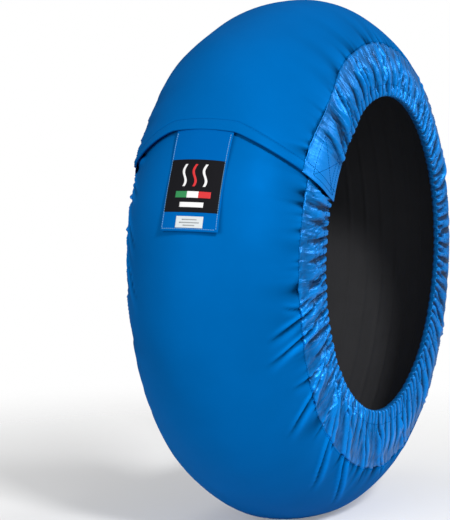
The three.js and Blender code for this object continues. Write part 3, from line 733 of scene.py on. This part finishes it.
    # crisp lines of nylon: the zero lines of a stretched noise become narrow valleys and ridges
    warp = 7.0 * noise(th, s, 40, seed + 11) / SIDE_MEAN * 180 / math.pi
    narrow = smooth(th, -25, -10) * (1 - smooth(th, 22, 27))
    line = lambda n, wide: np.exp(-np.abs(n) / wide) - 0.45
    crisp = 1.7 * line(noise(th + warp, s, 11, seed + 12, 4.5), 0.30)
    crisp -= 1.0 * line(noise(th - warp, s, 7.5, seed + 13, 5.0), 0.25)
    crisp += (0.5 + 2.0 * narrow) * line(noise(th + warp, s, 12, seed + 14, 1.1), 0.25)
    fade_in = smooth(v, 0.0, 0.18)[None, :] * (1 - 0.5 * smooth(v, 0.9, 1.0))[None, :]
    X = X - N * (crisp * strong * fade_in * flat_zone[:, None])[..., None]
    # no fold stands far out, and least of all next to the seam
    proud = np.sum((X - floor) * N, axis=-1)
    most = 0.9 + 3.7 * smooth(v, 0.12, 0.6)[None, :]
    X = X - N * (0.85 * np.maximum(proud - most, 0))[..., None]
    long_creases = creases(th, s * side, side)
    X = X - N * long_creases[..., None] * SKIRT_CREASE
    X[:, 0] = seam_row
    # the hem turns in round the elastic and comes back up inside
    hem = X[:, -1]
    centre = np.array([0, 0, AXLE + HEM_LIFT])
    radial = hem - centre
    radial[:, 1] = 0
    radial /= np.linalg.norm(radial, axis=1, keepdims=True)
    axial = np.array([0, 1.0 if side > 0 else -1.0, 0])
    turn_in = [(-0.8, 1.2), (-1.0, 2.8), (-0.6, 4.6), (0.6, 6.6), (2.4, 8.2)]
    turn_in += [(5.0, 9.0), (8.0, 9.0), (11.0, 8.2), (13.0, 6.8)]
    padded = np.pad(hem, ((20, 20), (0, 0)), "edge")
    kernel = np.ones(41) / 41
    mean = np.stack([np.convolve(padded[:, k], kernel, "valid") for k in range(3)], -1)
    extra = []
    for k, (r, a) in enumerate(turn_in):
        soft = max(0.0, 1 - k / 7)
        extra.append(mean + (hem - mean) * soft + radial * r + axial * a)
    full = np.concatenate([X, np.stack(extra, 1)], 1)
    nn = normals(full)
    if np.dot(nn[COLS // 2, ROWS // 2], N[COLS // 2, ROWS // 2]) < 0:
        nn = -nn
    inner = full - nn * SKIRT
    # the fold value is painted shade and light, from how far a point stands out from the cloth around it:
    # painted light on crests and on the flat corner, painted shade in valleys and in the long creases
    blur = X
    for axis, reach in ((0, 8), (1, 3)):
        pads = [(reach, reach) if k == axis else (0, 0) for k in range(3)]
        wide = np.pad(blur, pads, "edge")
        total = sum(np.take(wide, np.arange(k, k + X.shape[axis]), axis) for k in range(2 * reach + 1))
        blur = total / (2 * reach + 1)
    fold_and_shade = np.full(full.shape[:2], 0.45)
    painted_light_flat = 0.42 * (1 - flat_zone)[:, None]
    crease_shade = np.maximum(long_creases, 0)
    out = np.sum((X - blur) * N, axis=-1)
    fold_and_shade[:, :ROWS] = np.clip(0.5 + painted_light_flat + out / 3.2 - 0.16 * crease_shade, 0, 1)
    slack = np.broadcast_to(0.15 + 0.85 * flat_zone[:, None], full.shape[:2])
    order = slice(None) if side > 0 else slice(None, None, -1)
    obj = sheet(
        name,
        full[:, order] * MM,
        inner[:, order] * MM,
        skirt_mat,
        {"fold_and_shade": fold_and_shade[:, order], "slack": slack},
        node=node_name,
        slot_name="skirt_nylon",
    )
    return obj, X, N, th, s


near, Xn, Nn, thn, sn = gathered_skirt("skirt_near", 1, 40, "side_skirt_near")
far, Xf, Nf, thf, sf = gathered_skirt("skirt_far", -1, 60, "side_skirt_far")

# tab and labels
TAB_LOW = 10.2
TAB_TOP = 34.5
TAB_ACROSS = (-33, 38)
LABEL_ANGLES = (14, 24.8)
LABEL_ACROSS = (-31, 36)
TAB_ARC = 5.7  # mm for each degree


def tab_top(th, s, above=0.0):
    """Depth of the tab's face: it comes out from under the flap, lies on the band and lifts at its end."""
    lie = -1.9
    sewn = -4.2
    d = lie + (sewn - lie) * smooth(th, 22.5, 31)
    loose = np.clip((24 - th) / (24 - TAB_LOW), 0, 1)
    d = d - 3.2 * loose**2 - 0.35 * noise(th, s, 30, 71)
    d = d - 0.9 * loose * ((s - 2) / 36) ** 2
    edge = np.minimum(np.abs(s - TAB_ACROSS[0]), np.abs(s - TAB_ACROSS[1]))
    d = d + 0.5 * np.exp(-edge / 0.9)
    return d - above


tab = laid(
    "tab",
    (TAB_LOW, TAB_TOP),
    TAB_ACROSS,
    tab_top,
    1.3,
    tab_mat,
    120,
    72,
    node="pull_tab",
    slot_name="cover_nylon",
)


def patch_top(th, s):
    """Depth of the label's face, which sinks a little along its sewn edge."""
    edges = [np.abs(s - side) for side in LABEL_ACROSS]
    edges += [np.abs(th - end) * TAB_ARC for end in LABEL_ANGLES]
    return tab_top(th, s, 0.45) + 0.3 * np.exp(-np.minimum.reduce(edges) / 0.7)


label = laid(
    "label",
    LABEL_ANGLES,
    LABEL_ACROSS,
    patch_top,
    0.45,
    label_mat,
    70,
    70,
    node="label_patch",
    slot_name="label_cloth",
)
care_top = lambda th, s: tab_top(th, s, 0.45)
care = laid(
    "small_label",
    (10.9, 13.2),
    (-13, 20),
    care_top,
    0.4,
    care_mat,
    24,
    40,
    node="care_label",
    slot_name="care_cloth",
)


def printed(name, angles, across, mat, bow=None, base=0.55, nu=14, nv=20):
    """A thin film of print, base mm above the tab's face."""
    return laid(name, angles, across, lambda th, s: tab_top(th, s, base), 0.1, mat, nu, nv, bow)


printed("print_stripe_green", (16.9, 18.2), (-18, -3.5), green_mat)
printed("print_stripe_white", (16.9, 18.2), (-3.5, 10.5), white_mat)
printed("print_stripe_red", (16.9, 18.2), (10.5, 25), red_mat)
printed("print_bar", (15.0, 16.0), (-11, 18), white_mat)
for k, (c, mat) in enumerate(((-10, white_mat), (2.5, red_mat), (15, white_mat))):

    def waved(th, s, c=c):
        return th, s + 2.2 * np.sin((th - 19) / 4.6 * 2 * math.pi)

    printed(f"print_heat_{k + 1}", (19.2, 23.8), (c - 1.5, c + 1.5), mat, waved, nu=60, nv=6)
for k, (a, w) in enumerate(((12.55, 9), (11.95, 12), (11.4, 7))):
    across = (3.5 - w, 3.5 + w)
    printed(f"print_line_{k + 1}", (a - 0.11, a + 0.11), across, grey_mat, base=0.53, nv=10, nu=4)


def on_tab_line(angles, across):
    """Points and normals along a straight line on the tab."""
    th = np.linspace(*angles, 160)
    s = np.linspace(*across, 160)
    d = tab_top(th, s, 0.05)
    p = place(th, s, d)
    q = place(th, s, d - 5)
    n = q - p
    return p, n / np.linalg.norm(n, axis=1, keepdims=True)


for k, (angles, across) in enumerate(
    [((30.6, 10.7), (-30.4, -30.4)), ((30.6, 10.7), (35.4, 35.4)), ((10.7, 10.7), (-30.4, 35.4))]
):
    p, n = on_tab_line(angles, across)
    stitches(f"tab_stitch_{k + 1}", p, n, light_thread_mat, pitch=2.8, length=2.1, radius=0.42)

# stitching
def cover_line(theta, s):
    """Points and normals along a line on the cover."""
    d = cover_depth(theta, s) - flap_lift(theta, s)
    p = place(theta, s, d)
    q = place(theta, s, d - 5)
    n = q - p
    return p, n / np.linalg.norm(n, axis=1, keepdims=True)


line_s = np.linspace(-122, 124, 420)
p, n = cover_line(flap_edge(line_s) + 2.47, line_s)
stitches("flap_topstitch", p, n, thread_mat, pitch=3.0, length=2.2, radius=0.3)
ring_t = np.linspace(flap_edge(124.0) + 1, UNDER_END - 1, 2400)
for tag, side in (("near", 1), ("far", -1)):
    p, n = cover_line(ring_t, side * (seam_at(ring_t, side) - 1.4))
    stitches(f"seam_stitch_{tag}", p, n, thread_mat, pitch=3.2, length=2.4, radius=0.3)


def skirt_line(X, N, cols, rows):
    """Points and normals on a skirt's grid, at columns and rows that needn't be whole."""
    c0, r0 = np.floor(cols).astype(int), np.floor(rows).astype(int)
    c0, r0 = np.clip(c0, 0, X.shape[0] - 2), np.clip(r0, 0, X.shape[1] - 2)
    fu, fv = (cols - c0)[:, None], (rows - r0)[:, None]
    mix = lambda G: (
        (G[c0, r0] * (1 - fu) + G[c0 + 1, r0] * fu) * (1 - fv)
        + (G[c0, r0 + 1] * (1 - fu) + G[c0 + 1, r0 + 1] * fu) * fv
    )
    nn = mix(N)
    nn /= np.linalg.norm(nn, axis=1, keepdims=True)
    return (mix(X) + nn * 0.15) * MM, nn


for tag, X, N, th, s in (("near", Xn, Nn, thn, sn), ("far", Xf, Nf, thf, sf)):
    span = np.linspace(6, COLS - 6, 4 * COLS)
    p, n = skirt_line(X, N, span, np.full(span.shape, (ROWS - 1) * 0.78))
    stitches(f"casing_stitch_{tag}", p, n, thread_mat, pitch=3.4, length=2.5, radius=0.28)
    # box and cross on the flat corner, over the touch-and-close tape
    col = lambda a: np.interp(a, th[:, ROWS // 2] + TURN, np.arange(COLS))
    a0, a1 = 25.8, 38.0
    r0, r1 = 0.22, 0.90
    box = [(a0, r0), (a1, r0), (a1, r1), (a0, r1), (a0, r0), (a1, r1)]
    sides = list(zip(box[:-1], box[1:]))
    cols = np.concatenate([np.linspace(col(a), col(b), 60) for (a, _), (b, _) in sides])
    rows = np.concatenate([np.linspace(a, b, 60) for (_, a), (_, b) in sides]) * (ROWS - 1)
    p, n = skirt_line(X, N, cols, rows)
    stitches(f"corner_stitch_{tag}_1", p, n, thread_mat, pitch=3.0, length=2.2, radius=0.28)
    p, n = skirt_line(X, N, np.linspace(col(a1), col(a0), 80), np.linspace(r0, r1, 80) * (ROWS - 1))
    stitches(f"corner_stitch_{tag}_2", p, n, thread_mat, pitch=3.0, length=2.2, radius=0.28)
    run = np.linspace(2, (ROWS - 1) - 1, 120)
    p, n = skirt_line(X, N, np.full(run.shape, 9.0), run)
    stitches(f"flap_edge_stitch_{tag}", p, n, thread_mat, pitch=3.0, length=2.2, radius=0.28)

# elastic, tapes, heater and leads
for tag, side in (("near", 1), ("far", -1)):
    t = np.linspace(-300, 45, 300)
    path = place(t, side * (HEM_S - 5.2), 5.0)
    tube(f"elastic_{tag}", path, 2.1 * MM, rubber_mat, node=f"hem_elastic_{tag}", slot_name="elastic")
for tag, top in (("loop", -1.6), ("hook", -3.1)):
    laid(
        f"closure_{tag}",
        (36, 50),
        (-90, 90),
        top,
        1.1,
        tape_mat,
        30,
        90,
        node=f"closure_{tag}_tape",
        slot_name="tape",
    )
    for place_tag, across in (("near", (146, 190)), ("far", (-190, -146))):
        laid(
            f"corner_{tag}_{place_tag}",
            (27, 38),
            across,
            top + 0.2,
            1.0,
            tape_mat,
            24,
            24,
            node=f"corner_{tag}_tape_{place_tag}",
            slot_name="tape",
        )

WIRE_DEPTH = 10.6
LANES = (-75, -25, 25, 75)
wire = []
for lane, s_lane in enumerate(LANES):
    ts = np.linspace(-297, 46, 240)
    ts = ts[::-1] if lane % 2 else ts
    wire += [(t, s_lane) for t in ts]
    if lane < 3:
        wire += [(ts[-1], q) for q in np.linspace(s_lane, LANES[lane + 1], 22)[1:-1]]
wire = np.array(wire)
wire_path = place(wire[:, 0], wire[:, 1], WIRE_DEPTH)
tube("heating_wire", wire_path, 1.0 * MM, wire_mat, 6, node="heater_wire", slot_name="heater_wire")


def lead(name, corners, mat, node_name, slot_name):
    """A lead through corners that are given as angle, distance across and depth."""
    c = np.array(corners, float)
    path = []
    for a, b in zip(c[:-1], c[1:]):
        path += [a + (b - a) * k / 24 for k in range(24)]
    path = np.array(path + [c[-1]])
    path = place(path[:, 0] - TURN, path[:, 1], path[:, 2])
    tube(name, path, 0.75 * MM, mat, 6, node=node_name, slot_name=slot_name)


supply = [(83, -109, 5.7), (83, -101, 10), (76, -89.5, 10), (73.2, -89.5, 10)]
link = [(67.8, -89.5, 10), (61.5, -89.5, 10), (61.5, -75, 10), (62.8, -75, 10)]
back = [(62.8, 75, 10), (59, 75, 10), (59, -101, 10), (59, -109, 5.7), (82.4, -109, 5.7)]
lead("lead_supply", supply, redlead_mat, "supply_lead", "red_sleeve")
lead("lead_link", link, redlead_mat, "thermostat_link", "red_sleeve")
lead("lead_return", back, blacklead_mat, "return_lead", "black_sleeve")
laid(
    "thermostat_body",
    (68 - TURN, 73 - TURN),
    (-96, -83),
    4.4,
    4.4,
    case_mat,
    8,
    8,
    node="thermostat",
    slot_name="thermostat_case",
)

# turned grommet on the true surface
seat = place(82.5, -109.0, cover_depth(np.array(82.5 - TURN), np.array(-109.0)) - 0.1)
above = place(82.5, -109.0, -6.0)
axis = Vector(above - seat).normalized()
profile = [(3.0, -3.6), (6.8, -3.6), (6.8, -2.9), (4.6, -2.7), (4.6, -0.1), (7.0, 0.0)]
profile += [(7.1, 0.7), (6.6, 1.4), (5.6, 1.8), (4.0, 1.9), (3.2, 1.7), (3.0, 1.2)]
turned = axis.to_track_quat("Z", "Y").to_matrix()
pts = []
faces = []
sides = 40
for r, h in profile:
    for k in range(sides):
        a = 2 * math.pi * k / sides
        pts.append(Vector(seat) + turned @ Vector((r * math.cos(a), r * math.sin(a), h)) * MM)
for i in range(len(profile)):
    for k in range(sides):
        j, m = (i + 1) % len(profile), (k + 1) % sides
        faces.append([i * sides + k, i * sides + m, j * sides + m, j * sides + k])
make("grommet", [list(q) for q in pts], faces, rubber_mat, node="cable_grommet", slot_name="grommet_rubber")

# floor, camera and lights
def faded(nt, b, base, rough):
    """The floor thins out towards its edge, so that it has no horizon."""
    co = nt.nodes.new("ShaderNodeTexCoord")
    fine = node(nt, "ShaderNodeTexNoise", Scale=40.0, Detail=3.0)
    bump = node(nt, "ShaderNodeBump", Strength=0.02, Distance=0.001)
    nt.links.new(co.outputs["Object"], fine.inputs["Vector"])
    nt.links.new(fine.outputs["Fac"], bump.inputs["Height"])
    nt.links.new(bump.outputs["Normal"], b.inputs["Normal"])
    far_off = node(nt, "ShaderNodeVectorMath", operation="LENGTH")
    nt.links.new(co.outputs["Object"], far_off.inputs[0])
    fade = node(nt, "ShaderNodeMapRange")
    fade.interpolation_type = "SMOOTHSTEP"
    fade.inputs["From Min"].default_value = 0.25
    fade.inputs["From Max"].default_value = 1.15
    fade.inputs["To Min"].default_value = 0.75
    fade.inputs["To Max"].default_value = 0.0
    nt.links.new(far_off.outputs["Value"], fade.inputs["Value"])
    nt.links.new(fade.outputs["Result"], b.inputs["Alpha"])


floor_mat = material("floor", (0.97, 0.97, 0.97), 0.9, faded, spec=0.0)
fm = bpy.data.meshes.new("floor")
FLOOR_RADIUS = 1.2
round_floor = np.linspace(0, 2 * math.pi, 96, endpoint=False)
rim = [(FLOOR_RADIUS * math.cos(a), FLOOR_RADIUS * math.sin(a), 0) for a in round_floor]
fm.from_pydata(rim, [], [list(range(96))])
floor_obj = bpy.data.objects.new("floor", fm)
bpy.context.scene.collection.objects.link(floor_obj)
fm.materials.append(floor_mat)

scene = bpy.context.scene
cam_data = bpy.data.cameras.new("camera")
cam = bpy.data.objects.new("camera", cam_data)
scene.collection.objects.link(cam)
scene.camera = cam
SENSOR = 36.0
FOCAL_PIXELS = 1991.87
LONG_SIDE_PIXELS = 520
cam_data.sensor_width = SENSOR
cam_data.lens = FOCAL_PIXELS / LONG_SIDE_PIXELS * SENSOR
cam_data.dof.use_dof = False
forward = Vector((0.8989, 0.4291, -0.0892)).normalized()
right = forward.cross(Vector((0, 0, 1))).normalized()
up = right.cross(forward)
turn = Matrix((right, up, -forward)).transposed()
cam.matrix_world = Matrix.Translation((-2.3441, -1.0112, 0.2287 + AXLE * MM)) @ turn.to_4x4()


def area(name, location, target, size, power):
    data = bpy.data.lights.new(name, "AREA")
    data.shape = "RECTANGLE"
    data.size, data.size_y = size
    data.energy = power
    obj = bpy.data.objects.new(name, data)
    scene.collection.objects.link(obj)
    obj.location = location
    obj.rotation_euler = (Vector(target) - Vector(location)).to_track_quat("-Z", "Y").to_euler()


area("key", (-2.0, -2.3, 2.3), (0, 0, 0.35), (0.6, 0.6), 94)
area("side", (1.2, -2.2, 1.6), (0, 0, 0.35), (0.7, 0.9), 22)
area("fill", (-3.2, 0.9, 1.0), (0, 0, 0.3), (1.8, 1.8), 43)
area("top", (0.3, 0.6, 2.6), (0, 0, 0.5), (1.2, 1.2), 5)
world = bpy.data.worlds.new("world")
scene.world = world
world.use_nodes = True
nt = world.node_tree
bg = nt.nodes["Background"]
bg.inputs["Color"].default_value = (1, 1, 1, 1)
bg.inputs["Strength"].default_value = 0.30
seen = nt.nodes.new("ShaderNodeBackground")
seen.inputs["Color"].default_value = (1, 1, 1, 1)
seen.inputs["Strength"].default_value = 1.0
mix = nt.nodes.new("ShaderNodeMixShader")
path = nt.nodes.new("ShaderNodeLightPath")
nt.links.new(path.outputs["Is Camera Ray"], mix.inputs[0])
nt.links.new(bg.outputs[0], mix.inputs[1])
nt.links.new(seen.outputs[0], mix.inputs[2])
nt.links.new(mix.outputs[0], nt.nodes["World Output"].inputs[0])
scene.view_settings.view_transform = "Standard"
